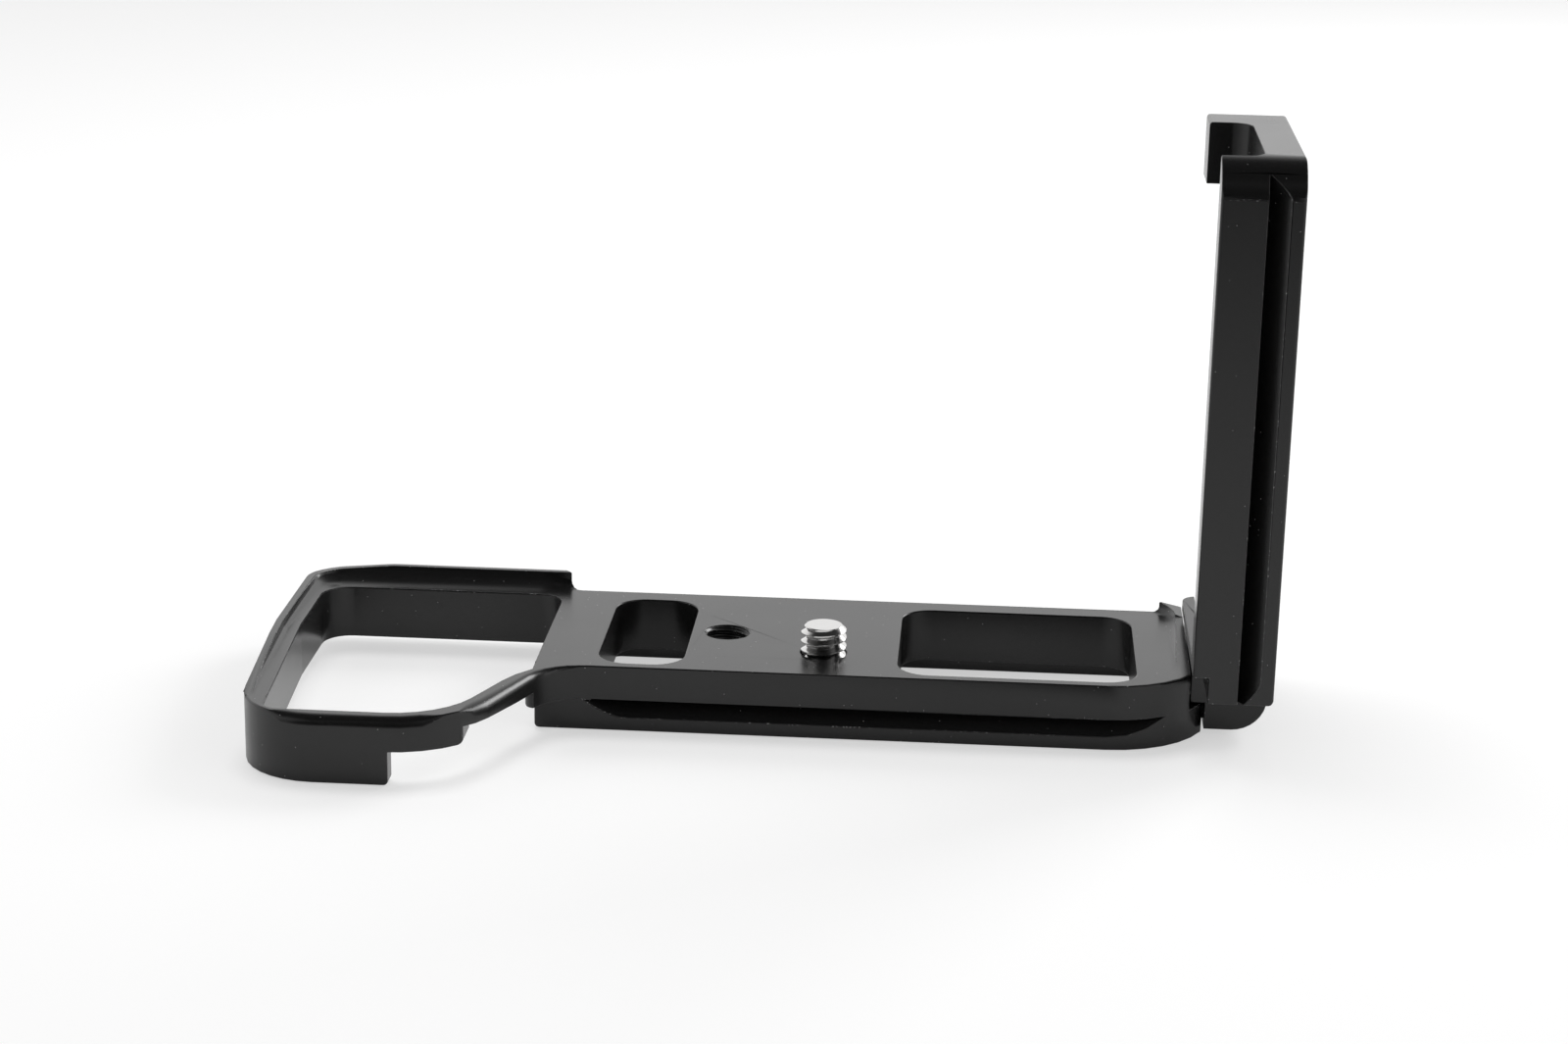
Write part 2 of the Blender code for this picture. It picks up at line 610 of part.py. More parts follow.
def make_lip(cutters):
    """Raised lip behind, left and right of the camera, with the scoop and fillet at its foot."""
    low = DECK_TOP - LIP_WIDTH
    high = DECK_TOP + LIP_BACK
    under = low - OVERRUN
    above = high + OVERRUN
    right = WINDOW_RIGHT + OVERRUN
    lip = prism("lip", [moved_in(outer_outline(), HAIR)], low, high, cutters)
    seat = prism("lip_seat", [footprint_outline(LIP_WIDTH)], -above, -DECK_TOP, cutters, seat_round)
    overturn(seat)
    opening = prism("lip_opening", [moved_in(battery_outline(), -HAIR)], under, above, cutters)
    deck = box("lip_deck", (ARM_START, -DECK_HALF - OVERRUN, under),
               (right, DECK_HALF + OVERRUN, above), cutters)
    front = box("lip_front", (FRAME_LEFT - OVERRUN, FRAME_FRONT - OVERRUN, under),
                (right, LIP_FADE_END, above), cutters)
    arm = box("lip_arm", (OPEN_LEFT_FRONT, FRAME_FRONT - OVERRUN, under),
              (right, OPEN_CORNER + FRAME_WALL, above), cutters)
    corner = box("lip_corner", (WINDOW_RIGHT, -DECK_HALF - OVERRUN, under),
                 (BASE_RIGHT + OVERRUN, RIGHT_RISE, above), cutters)
    fade = lip_fade(high, cutters)
    drop = lip_drop(high, cutters)
    rise = lip_rise(above, cutters)
    hook = hook_top(above, cutters)
    for cutter in (seat, opening, deck, front, arm, corner, fade, drop, rise, hook):
        combine(lip, cutter, "DIFFERENCE")
    return lip


def lip_rise(above, cutters):
    """Cutter whose underside gives the right lip's height from its front end to the hook."""
    profile = [
        Vector((RIGHT_RISE - OVERRUN, DECK_TOP)),
        Vector((RIGHT_RISE, DECK_TOP)),
        Vector((HOOK_START, DECK_TOP + LIP_RIGHT)),
        Vector((HOOK_FULL, above)),
        Vector((RIGHT_RISE - OVERRUN, above)),
    ]
    cutter = prism("lip_rise", [profile], WINDOW_RIGHT, BASE_RIGHT + OVERRUN, cutters)
    upright(cutter)
    return cutter


def hook_top(above, cutters):
    """Cutter whose underside gives the hook's height, which drops to the right."""
    top = DECK_TOP + LIP_HOOK
    profile = [
        Vector((WINDOW_RIGHT, top)),
        Vector((HOOK_TIP, top)),
        Vector((DECK_RIGHT, top - HOOK_DROP)),
        Vector((BASE_RIGHT + OVERRUN, top - HOOK_DROP)),
        Vector((BASE_RIGHT + OVERRUN, above)),
        Vector((WINDOW_RIGHT, above)),
    ]
    cutter = prism("hook_top", [profile], -DECK_HALF, FRAME_BACK, cutters)
    sideways(cutter)
    return cutter


def overturn(piece):
    """Mirrors a piece in the ground plane."""
    piece.data.transform(Matrix.Diagonal((1, 1, -1, 1)))
    piece.data.flip_normals()


def lip_fade(high, cutters):
    """Cutter whose underside gives the lip's height along the left wall."""
    top = high + OVERRUN
    profile = [
        Vector((LIP_FADE_START, top)),
        Vector((LIP_FADE_END - OVERRUN, top)),
        Vector((LIP_FADE_END - OVERRUN, DECK_TOP)),
        Vector((LIP_FADE_END, DECK_TOP)),
        Vector((LIP_FADE_START, DECK_TOP + LIP_LEFT)),
    ]
    cutter = prism("lip_fade", [profile], FRAME_LEFT - OVERRUN, DECK_LEFT, cutters)
    upright(cutter)
    return cutter


def lip_drop(high, cutters):
    """Cutter whose underside lowers the back lip to the height of the left one, drawn in X and Z."""
    top = high + OVERRUN
    low = DECK_TOP + LIP_LEFT
    cutter = prism("lip_drop", [rounded([
        (FRAME_LEFT - OVERRUN, low, 0),
        (DROP_END, low, DROP_RADIUS),
        (DROP_START, high, DROP_RADIUS),
        (ARM_START, high, 0),
        (ARM_START, top, 0),
        (FRAME_LEFT - OVERRUN, top, 0),
    ])], FRAME_FRONT - OVERRUN, FRAME_BACK + OVERRUN, cutters)
    sideways(cutter)
    return cutter


def upright(piece):
    """Turns a prism drawn in Y and Z, and thick along X, into its place."""
    piece.data.transform(Matrix(((0, 0, 1, 0), (1, 0, 0, 0), (0, 1, 0, 0), (0, 0, 0, 1))))


def sideways(piece):
    """Turns a prism drawn in X and Z, and thick along Y, into its place."""
    piece.data.transform(Matrix(((1, 0, 0, 0), (0, 0, 1, 0), (0, 1, 0, 0), (0, 0, 0, 1))))
    piece.data.flip_normals()


def make_rear_rail(cutters):
    back = RAIL_WIDTH - DECK_HALF
    flank = RAIL_CEILING - RAIL_LIP
    profile = [
        Vector((DECK_HALF - OVERRUN, -OVERRUN / 2)),
        Vector((back, -OVERRUN / 2)),
        Vector((back, RAIL_LIP)),
        Vector((back - flank, RAIL_CEILING)),
        Vector((DECK_HALF - OVERRUN, RAIL_CEILING)),
    ]
    rail = prism("rear_rail", [profile], FRAME_STEP_OUT, RAIL_REAR_RIGHT, cutters)
    upright(rail)
    return rail


def clamp_places():
    middle = (TONGUE_FRONT + TONGUE_BACK) / 2
    return [("front", middle - CLAMP_SPACING / 2), ("rear", middle + CLAMP_SPACING / 2)]


def arm_underside(cutters):
    """Space under the frame's front wall, the arm and the boss at its root, drawn in X and Z."""
    low_start = STEP_LOW_END - STEP_LOW_ROUND - EDGE_BREAK
    under = prism("arm_underside", [rounded([
        (low_start, -2 * OVERRUN, 0),
        (low_start, 0, 0),
        (STEP_LOW_END, 0, STEP_LOW_ROUND),
        (STEP_LOW_END, STEP_MID_Z, 0),
        (STEP_MID_END, STEP_MID_Z, STEP_MID_ROUND),
        (STEP_MID_END, STEP_ARM_Z, 0),
        (BOSS_LEFT, STEP_ARM_Z - ARM_THICKER, 0),
        (BOSS_LEFT, BOSS_BOTTOM, BOSS_ROUND),
        (GROOVE_START, BOSS_BOTTOM, 0),
        (GROOVE_START, -2 * OVERRUN, 0),
    ])], FRAME_FRONT - OVERRUN, -DECK_HALF, cutters)
    sideways(under)
    return under


def boss_corner(cutters):
    """Space round the boss's front left corner, up to the arm's underside."""
    left = BOSS_LEFT + HAIR
    back = OPEN_CORNER + OVERRUN / 2
    return prism("boss_corner", [rounded([
        (left - OVERRUN, FRAME_FRONT - OVERRUN, 0),
        (ARM_START, FRAME_FRONT - OVERRUN, 0),
        (ARM_START, BOSS_FRONT, 0),
        (left, BOSS_FRONT, BOSS_RADIUS),
        (left, back, 0),
        (left - OVERRUN, back, 0),
    ])], -2 * OVERRUN, STEP_ARM_Z - ARM_THICKER + HAIR, cutters)


def rail_end(cutters):
    """Rounds the lower left corner of the rail, seen from the front."""
    right = DECK_LEFT + RAIL_END_ROUND + EDGE_BREAK
    top = RAIL_END_ROUND + EDGE_BREAK
    end = prism("rail_end", [rounded([
        (DECK_LEFT - OVERRUN, -2 * OVERRUN, 0),
        (right, -2 * OVERRUN, 0),
        (right, 0, 0),
        (DECK_LEFT, 0, RAIL_END_ROUND),
        (DECK_LEFT, top, 0),
        (DECK_LEFT - OVERRUN, top, 0),
    ])], -DECK_HALF - OVERRUN, DECK_HALF + OVERRUN, cutters)
    sideways(end)
    return end


def screw_bore(cutters):
    """Bore of the camera screw: clearance hole, counterbore for the head and groove for the snap ring."""
    clear = SCREW_RADIUS + SCREW_CLEAR
    wide = bore_radius()
    groove = wide + SNAP_GROOVE_DEEP
    groove_top = ring_top() + FIT
    groove_low = ring_top() - SNAP_RING_HIGH - FIT
    bore = turned("screw_bore", [
        (0, DECK_TOP + OVERRUN), (clear, DECK_TOP + OVERRUN), (clear, SCREW_SEAT), (wide, SCREW_SEAT),
        (wide, groove_top), (groove, groove_top), (groove, groove_low), (wide, groove_low),
        (wide, -2 * OVERRUN), (0, -2 * OVERRUN)], cutters)
    bore.location = (SCREW_X, SCREW_Y, 0)
    return bore


def tripod_hole(cutters):
    hole = turned("tripod_hole", [
        (0, DECK_TOP + OVERRUN), (HOLE_RADIUS + HOLE_CHAMFER + OVERRUN, DECK_TOP + OVERRUN),
        (HOLE_RADIUS, DECK_TOP - HOLE_CHAMFER), (HOLE_RADIUS, -2 * OVERRUN), (0, -2 * OVERRUN)], cutters)
    hole.location.x = HOLE_X
    return hole


def make_base_plate(parts, cutters, material):
    slot = rectangle(SLOT_LEFT, SLOT_RIGHT, OPENING_FRONT, OPENING_REAR, OPENING_RADIUS)
    window = rectangle(WINDOW_LEFT, WINDOW_RIGHT, OPENING_FRONT, OPENING_REAR, OPENING_RADIUS)
    outlines = [outer_outline(), battery_outline(), slot, window]
    base = prism("base_plate", outlines, -OVERRUN, DECK_TOP, parts, base_top_round)
    combine(base, make_lip(cutters), "UNION")
    combine(base, make_rear_rail(cutters), "UNION")

    ledge_back = OPENING_FRONT + LEDGE_DEPTH
    for name, left, right in (("slot", SLOT_LEFT, SLOT_RIGHT), ("window", WINDOW_LEFT, WINDOW_RIGHT)):
        ledge = box(name + "_ledge", (left - OVERRUN, OPENING_FRONT - OVERRUN / 2, -OVERRUN / 2),
                    (right + OVERRUN, ledge_back, RAIL_CEILING + LEDGE_HIGH), cutters)
        combine(base, ledge, "UNION")

    reach = RAIL_CEILING - RAIL_LIP
    groove = tapered_pass("front_groove", GROOVE_START, BASE_RIGHT + GROOVE_TOOL, GROOVE_TOOL,
                          reach + OVERRUN / 2, cutters)
    groove.location = (0, -DECK_HALF - GROOVE_TOOL + reach, RAIL_CEILING)
    combine(base, groove, "DIFFERENCE")
    end = box("deck_end", (DECK_RIGHT, -DECK_HALF - OVERRUN, RAIL_CEILING),
              (BASE_RIGHT + OVERRUN, DECK_HALF + OVERRUN, DECK_TOP + LIP_BACK + OVERRUN), cutters)
    combine(base, end, "DIFFERENCE")
    combine(base, arm_underside(cutters), "DIFFERENCE")
    combine(base, boss_corner(cutters), "DIFFERENCE")
    combine(base, rail_end(cutters), "DIFFERENCE")

    for name, left, right in (("slot", SLOT_LEFT, SLOT_RIGHT), ("window", WINDOW_LEFT, WINDOW_RIGHT)):
        hollow = rectangle(left - RELIEF_REACH, right + RELIEF_REACH, ledge_back + RELIEF_FRONT,
                           OPENING_REAR + RELIEF_BACK, RELIEF_RADIUS)
        combine(base, prism(name + "_relief", [hollow], -2 * OVERRUN, RELIEF_DEPTH, cutters), "DIFFERENCE")
    frame_relief = box("frame_relief", (FRAME_LEFT - OVERRUN, FRAME_GROUND_BACK, -2 * OVERRUN),
                       (DECK_LEFT - EDGE_BREAK, FRAME_BACK + OVERRUN, RELIEF_DEPTH), cutters)
    combine(base, frame_relief, "DIFFERENCE")

    channel = rectangle(TONGUE_TIP - FIT, BASE_RIGHT + 2 * OVERRUN, TONGUE_FRONT - FIT, TONGUE_BACK + FIT,
                        TONGUE_RADIUS)
    combine(base, prism("tongue_channel", [channel], -2 * OVERRUN, TONGUE_HIGH + FIT, cutters), "DIFFERENCE")
    combine(base, screw_bore(cutters), "DIFFERENCE")
    combine(base, tripod_hole(cutters), "DIFFERENCE")
    for name, y in clamp_places():
        clear = CLAMP_RADIUS + CLAMP_CLEAR
        thread = turned("clamp_hole_" + name, [(0, CLAMP_HOLE_TOP), (clear, CLAMP_HOLE_TOP),
                                               (clear, -2 * OVERRUN), (0, -2 * OVERRUN)], cutters)
        thread.location = (CLAMP_X, y, 0)
        combine(base, thread, "DIFFERENCE")
    ground = box("ground", (FRAME_LEFT - OVERRUN, FRAME_FRONT - OVERRUN, -2 * OVERRUN),
                 (BASE_RIGHT + OVERRUN, RAIL_WIDTH, 0), cutters)
    combine(base, ground, "DIFFERENCE")
    settle(base)
    finish(base, material)
    return base


def bore_radius():
    return SCREW_HEAD_RADIUS + BORE_CLEAR


def head_low():
    """Underside of the camera screw's head."""
    return SCREW_SEAT - FIT - SCREW_HEAD_HIGH


def ring_top():
    """Top of the snap ring that holds the camera screw in its bore."""
    return head_low() - FIT


def upright_pass(name, y, cutters):
    """Dovetail cutter's path up the side plate, with its axis along X."""
    piece = tapered_pass(name, PLATE_BOTTOM + PLATE_GROOVE_LOW, PLATE_TOP - PLATE_GROOVE_TOP, PLATE_TOOL,
                         PLATE_GROOVE + FIT, cutters)
    piece.data.transform(Matrix.Rotation(-math.pi / 2, 4, "Y"))
    piece.location = (PLATE_CEILING, y, 0)
    return piece


def plate_round(point):
    """Round of the side plate's top edge."""
    return PLATE_TOP_ROUND, PLATE_TOP_ROUND


def under_plate(name, front, back, cutters):
    """Space under the side plate in front of or behind its foot, with a round at the plate's outer corner."""
    above = PLATE_BOTTOM + PLATE_LOW_ROUND + EDGE_BREAK
    under = prism(name, [rounded([
        (PLATE_INNER - OVERRUN, -OVERRUN, 0),
        (PLATE_OUTER + OVERRUN, -OVERRUN, 0),
        (PLATE_OUTER + OVERRUN, above, 0),
        (PLATE_OUTER, above, 0),
        (PLATE_OUTER, PLATE_BOTTOM, PLATE_LOW_ROUND),
        (PLATE_INNER - OVERRUN, PLATE_BOTTOM, 0),
    ])], front, back, cutters)
    sideways(under)
    return under


def foot_round(front, back, cutters):
    """Rounds the foot's outer lower corner."""
    foot = prism("foot_round", [rounded([
        (PLATE_OUTER - FOOT_RADIUS, FOOT_LOW, 0),
        (PLATE_OUTER, FOOT_LOW, FOOT_RADIUS),
        (PLATE_OUTER, FOOT_LOW + FOOT_RADIUS, 0),
        (PLATE_OUTER + OVERRUN, FOOT_LOW + FOOT_RADIUS, 0),
        (PLATE_OUTER + OVERRUN, FOOT_LOW - OVERRUN, 0),
        (PLATE_OUTER - FOOT_RADIUS, FOOT_LOW - OVERRUN, 0),
    ])], front, back, cutters)
    sideways(foot)
    return foot


def make_side_plate(parts, cutters, material):
    back = PLATE_FRONT + RAIL_WIDTH
    bar_back = PLATE_FRONT + BAR_DEPTH
    finger_front = back - FINGER_DEPTH
    plate = prism("side_plate", [rounded([
        (PLATE_INNER, PLATE_FRONT, BAR_RADIUS),
        (PLATE_OUTER, PLATE_FRONT, PLATE_RADIUS),
        (PLATE_OUTER, back, PLATE_RADIUS),
        (PLATE_INNER, back, PLATE_RADIUS),
    ])], FOOT_LOW, PLATE_TOP, parts, plate_round)

    above = PLATE_TOP + OVERRUN
    left = PLATE_INNER - OVERRUN
    front = PLATE_FRONT - OVERRUN
    beyond = back + OVERRUN
    high = SILL_TOP + OVERRUN
    pocket = prism("pocket", [rounded([
        (left, bar_back, 0), (PLATE_WALL, bar_back, POCKET_RADIUS),
        (PLATE_WALL, beyond, 0), (left, beyond, 0)])],
        SILL_TOP, PLATE_TOP - FINGER_HIGH, cutters)
    notch = prism("strap_notch", [rounded([
        (left, bar_back, 0), (PLATE_WALL, bar_back, POCKET_RADIUS),
        (PLATE_WALL, finger_front, FINGER_RADIUS), (left, finger_front, 0)])],
        PLATE_TOP - FINGER_HIGH - OVERRUN, above, cutters)
    sill_gap = box("sill_gap", (PLATE_INNER + SILL_NOSE, SILL_MID, SHOULDER_TOP),
                   (PLATE_WALL, beyond, high), cutters)
    sill_end = prism("sill_end", [rounded([
        (left, SILL_BACK - SILL_RADIUS - EDGE_BREAK, 0),
        (PLATE_INNER, SILL_BACK - SILL_RADIUS - EDGE_BREAK, 0),
        (PLATE_INNER, SILL_BACK, SILL_RADIUS),
        (PLATE_WALL, SILL_BACK, 0),
        (PLATE_WALL, beyond, 0),
        (left, beyond, 0),
    ])], RAIL_CEILING, high, cutters)
    flange = box("flange_clearance", (left, front, -OVERRUN),
                 (PLATE_STEP, beyond, RAIL_CEILING + FIT), cutters)
    deck = box("deck_clearance", (left, front, -OVERRUN), (DECK_RIGHT + FIT, beyond, PAD_BOTTOM), cutters)
    corner = box("corner_clearance", (left, front, -OVERRUN),
                 (PLATE_STEP - FIT, SILL_FRONT, PAD_BOTTOM), cutters)
    for cutter in (pocket, notch, sill_gap, sill_end, flange, deck, corner,
                   under_plate("under_front", front, FOOT_FRONT, cutters),
                   under_plate("under_back", FOOT_BACK, beyond, cutters),
                   foot_round(front, beyond, cutters)):
        combine(plate, cutter, "DIFFERENCE")
    shift = PLATE_TOOL - PLATE_GROOVE
    for name, y in (("front", PLATE_FRONT - shift), ("back", back + shift)):
        combine(plate, upright_pass("groove_" + name, y, cutters), "DIFFERENCE")

    tongue = prism("tongue", [rounded([
        (TONGUE_TIP, TONGUE_FRONT, TONGUE_RADIUS),
        (PLATE_STEP + OVERRUN, TONGUE_FRONT, 0),
        (PLATE_STEP + OVERRUN, TONGUE_BACK, 0),
        (TONGUE_TIP, TONGUE_BACK, TONGUE_RADIUS),
    ])], TONGUE_LOW, TONGUE_HIGH, cutters)
    combine(plate, tongue, "UNION")
    for name, y in clamp_places():
        for label, radius, low, top in (("slot_", CLAMP_RADIUS + CLAMP_CLEAR, 0, TONGUE_HIGH + OVERRUN),
                                        ("seat_", CLAMP_HEAD_RADIUS + CLAMP_CLEAR, -OVERRUN,
                                         washer_top() + WASHER_GAP)):
            fork = prism(label + name, [rounded([
                (TONGUE_TIP - OVERRUN, y - radius, 0),
                (CLAMP_X + radius, y - radius, radius - WELD),
                (CLAMP_X + radius, y + radius, radius - WELD),
                (TONGUE_TIP - OVERRUN, y + radius, 0),
            ])], low, top, cutters)
            combine(plate, fork, "DIFFERENCE")
    settle(plate)
    place(plate, (PLATE_STEP, (TONGUE_FRONT + TONGUE_BACK) / 2, (TONGUE_LOW + TONGUE_HIGH) / 2))
    finish(plate, material)
    return plate


def hex_socket(name, width, depth, group):
    """Cutter for a hexagon socket that opens downwards from z = 0."""
    corner = width / math.sqrt(3)
    bpy.ops.mesh.primitive_cylinder_add(vertices=HEX_SIDES, radius=corner, depth=depth + OVERRUN)
    piece = bpy.context.object
    piece.name = name
    piece.data.transform(Matrix.Translation((0, 0, (depth - OVERRUN) / 2)))
    for owner in list(piece.users_collection):
        owner.objects.unlink(piece)
    group.objects.link(piece)
    return piece


def make_camera_screw(parts, cutters, material):
    low = head_low()
    high = low + SCREW_HEAD_HIGH
    edge = SCREW_HEAD_EDGE
    screw = turned("camera_screw", [
        (0, SCREW_TIP), (SCREW_RADIUS - SCREW_TIP_CHAMFER, SCREW_TIP),
        (SCREW_RADIUS, SCREW_TIP - SCREW_TIP_CHAMFER), (SCREW_RADIUS, high),
        (SCREW_HEAD_RADIUS - edge, high), (SCREW_HEAD_RADIUS, high - edge),
        (SCREW_HEAD_RADIUS, low + edge), (SCREW_HEAD_RADIUS - edge, low), (0, low)], parts)
    socket = hex_socket("camera_screw_socket", SCREW_SOCKET_WIDTH, SCREW_SOCKET_DEPTH, cutters)
    socket.location = (0, 0, low)
    combine(screw, socket, "DIFFERENCE")
    settle(screw)
    screw.location = (SCREW_X, SCREW_Y, 0)
    finish(screw, material)
    return screw


def make_snap_ring(parts, material):
    """Open spring ring in the groove under the camera screw's head."""
    outer = bore_radius() + SNAP_GROOVE_DEEP - BORE_CLEAR
    inner = outer - SNAP_RING_WIDE
    half = math.asin(SNAP_RING_GAP / 2 / outer)
    steps = ROUND_STEPS
    turns = [half + (2 * math.pi - 2 * half) * step / steps for step in range(steps + 1)]
    loop = [Vector((outer * math.cos(turn), outer * math.sin(turn))) for turn in turns]
    loop += [Vector((inner * math.cos(turn), inner * math.sin(turn))) for turn in reversed(turns)]
    ring = prism("snap_ring", [loop], ring_top() - SNAP_RING_HIGH, ring_top(), parts)
    ring.location = (SCREW_X, SCREW_Y, 0)
    finish(ring, material)
    return ring


def washer_top():
    return CLAMP_HEAD_BASE + CLAMP_HEAD_HIGH + WASHER_GAP + WASHER_HIGH


def make_clamp_screws(parts, cutters, material):
    for name, y in clamp_places():
        low = CLAMP_HEAD_BASE
        high = low + CLAMP_HEAD_HIGH
        edge = CLAMP_HEAD_EDGE
        screw = turned("clamp_screw_" + name, [
            (0, CLAMP_TIP), (CLAMP_RADIUS - edge, CLAMP_TIP), (CLAMP_RADIUS, CLAMP_TIP - edge),
            (CLAMP_RADIUS, high), (CLAMP_HEAD_RADIUS, high), (CLAMP_HEAD_RADIUS, low + edge),
            (CLAMP_HEAD_RADIUS - edge, low), (0, low)], parts)
        socket = hex_socket("clamp_socket_" + name, CLAMP_SOCKET_WIDTH, CLAMP_SOCKET_DEPTH, cutters)
        socket.location = (0, 0, low)
        combine(screw, socket, "DIFFERENCE")
        settle(screw)
        screw.location = (CLAMP_X, y, 0)
        finish(screw, material)
        washer = prism("clamp_washer_" + name, [circle(0, 0, CLAMP_HEAD_RADIUS),
                                                circle(0, 0, CLAMP_RADIUS + CLAMP_CLEAR)],
                       washer_top() - WASHER_HIGH, washer_top(), parts)
        washer.location = (CLAMP_X, y, 0)
        finish(washer, material)


def main():
    clear_scene()
    parts = new_collection("camera_l_bracket")
    cutters = new_collection("cutters")
    black = new_material("black_anodised_aluminium", ANODISED)
    steel = new_material("stainless_steel", STEEL)
    spring = new_material("spring_steel", SPRING_STEEL)
    make_base_plate(parts, cutters, black)
    make_side_plate(parts, cutters, black)
    make_camera_screw(parts, cutters, steel)
    make_snap_ring(parts, spring)
    make_clamp_screws(parts, cutters, steel)


main()
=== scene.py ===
# %% [markdown]
# # Camera L-bracket: the finish
#
# The bracket is milled from two pieces of aluminium and anodised black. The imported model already
# has every solid at full size, so this script dresses it: it breaks the plates' edges, cuts the
# threads of the screw and of the deck's hole, gives each metal its finish, and sets up the light
# and the camera.

# %% Load the frame
import math

import bmesh
import bpy
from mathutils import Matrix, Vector
from mathutils.bvhtree import BVHTree


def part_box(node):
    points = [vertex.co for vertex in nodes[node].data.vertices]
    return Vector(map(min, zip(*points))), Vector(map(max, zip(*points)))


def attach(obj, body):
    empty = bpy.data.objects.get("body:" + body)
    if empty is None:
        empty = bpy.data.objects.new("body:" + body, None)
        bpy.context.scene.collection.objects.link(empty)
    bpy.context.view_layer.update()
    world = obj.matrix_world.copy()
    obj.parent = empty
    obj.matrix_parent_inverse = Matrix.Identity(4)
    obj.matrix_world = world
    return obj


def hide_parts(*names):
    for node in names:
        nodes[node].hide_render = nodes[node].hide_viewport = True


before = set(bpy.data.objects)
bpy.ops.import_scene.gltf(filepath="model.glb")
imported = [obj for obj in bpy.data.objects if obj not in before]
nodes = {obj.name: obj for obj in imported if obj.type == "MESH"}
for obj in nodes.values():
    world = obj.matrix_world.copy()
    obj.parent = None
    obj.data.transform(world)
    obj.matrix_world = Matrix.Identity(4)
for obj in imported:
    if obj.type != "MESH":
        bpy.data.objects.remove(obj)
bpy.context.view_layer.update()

MM = 0.001
WELD = 0.001 * MM                  # points closer than this are one
FLAT_ANGLE = 0.5                   # degrees between facets of one flat face
SHARP_ANGLE = 38                   # degrees between the faces of an edge that was broken
SMOOTH_ANGLE = 32                  # degrees between facets that look smooth
print("nodes:", ", ".join(sorted(nodes)))

# %% [markdown]
# ## The camera
#
# The viewpoint was fitted to the bracket's straight edges, with the deck taken to be 34 mm deep.
# That gives a long lens, 74 mm on a sensor 36 mm wide, which looks 17 degrees down. The picture
# is cropped a little off the lens's own centre, which a small shift repeats.

# %% Camera
LENS = 74.0                        # focal length on a sensor 36 mm wide
CAMERA_PLACE = Vector((21.08, -434.15, 153.57)) * MM
CAMERA_TURN = (72.574, -1.057, 3.871)     # degrees about X, Y and Z
CROP_SHIFT = 0.0383                # of the picture's width
CLIP_START = 10 * MM

camera_data = bpy.data.cameras.new("camera")
camera_data.lens = LENS
camera_data.shift_y = CROP_SHIFT
camera_data.clip_start = CLIP_START
camera = bpy.data.objects.new("camera", camera_data)
camera.location = CAMERA_PLACE
camera.rotation_euler = [math.radians(turn) for turn in CAMERA_TURN]
bpy.context.scene.collection.objects.link(camera)
bpy.context.scene.camera = camera
print("camera stands", round(CAMERA_PLACE.length / MM), "mm from the bracket's origin")

# %% [markdown]
# ## Shader maths as Python
#
# A finish is easier to read as an expression than as a web of nodes. Socket wraps a node's
# output: arithmetic on it adds Math nodes, and numbers that don't vary stay plain Python.

# %% Shader helpers
DETAIL = 2.0                       # how many finer layers a noise has, unless a finish says more
NOISE_ROUGH = 0.5                  # how strong those layers are
SPECK_RIM = 1.6                    # a speck has faded out at this many times its size
SHARE_STEP = 0.005                 # how sharply the cells with a speck are told from the others
MIX_COLOURS = (6, 7)               # the numbers of the Mix node's sockets for colours
MIX_RESULT = 2


class Socket:
    """A node's output in a finish. Arithmetic on it adds the Math nodes that are needed."""

    def __init__(self, finish, output):
        self.finish = finish
        self.output = output

    def maths(self, operation, other, swap=False):
        pair = (other, self) if swap else (self, other)
        return self.finish.node("ShaderNodeMath", {"operation": operation}, {0: pair[0], 1: pair[1]})

    def __add__(self, other):
        return self.maths("ADD", other)

    __radd__ = __add__

    def __sub__(self, other):
        return self.maths("SUBTRACT", other)

    def __rsub__(self, other):
        return self.maths("SUBTRACT", other, swap=True)

    def __mul__(self, other):
        return self.maths("MULTIPLY", other)

    __rmul__ = __mul__

    def above(self, low, high):
        """0 below low, 1 above high, and a smooth rise between them."""
        return self.finish.node("ShaderNodeMapRange", {"interpolation_type": "SMOOTHSTEP", "clamp": True},
                                {"Value": self, "From Min": low, "From Max": high})


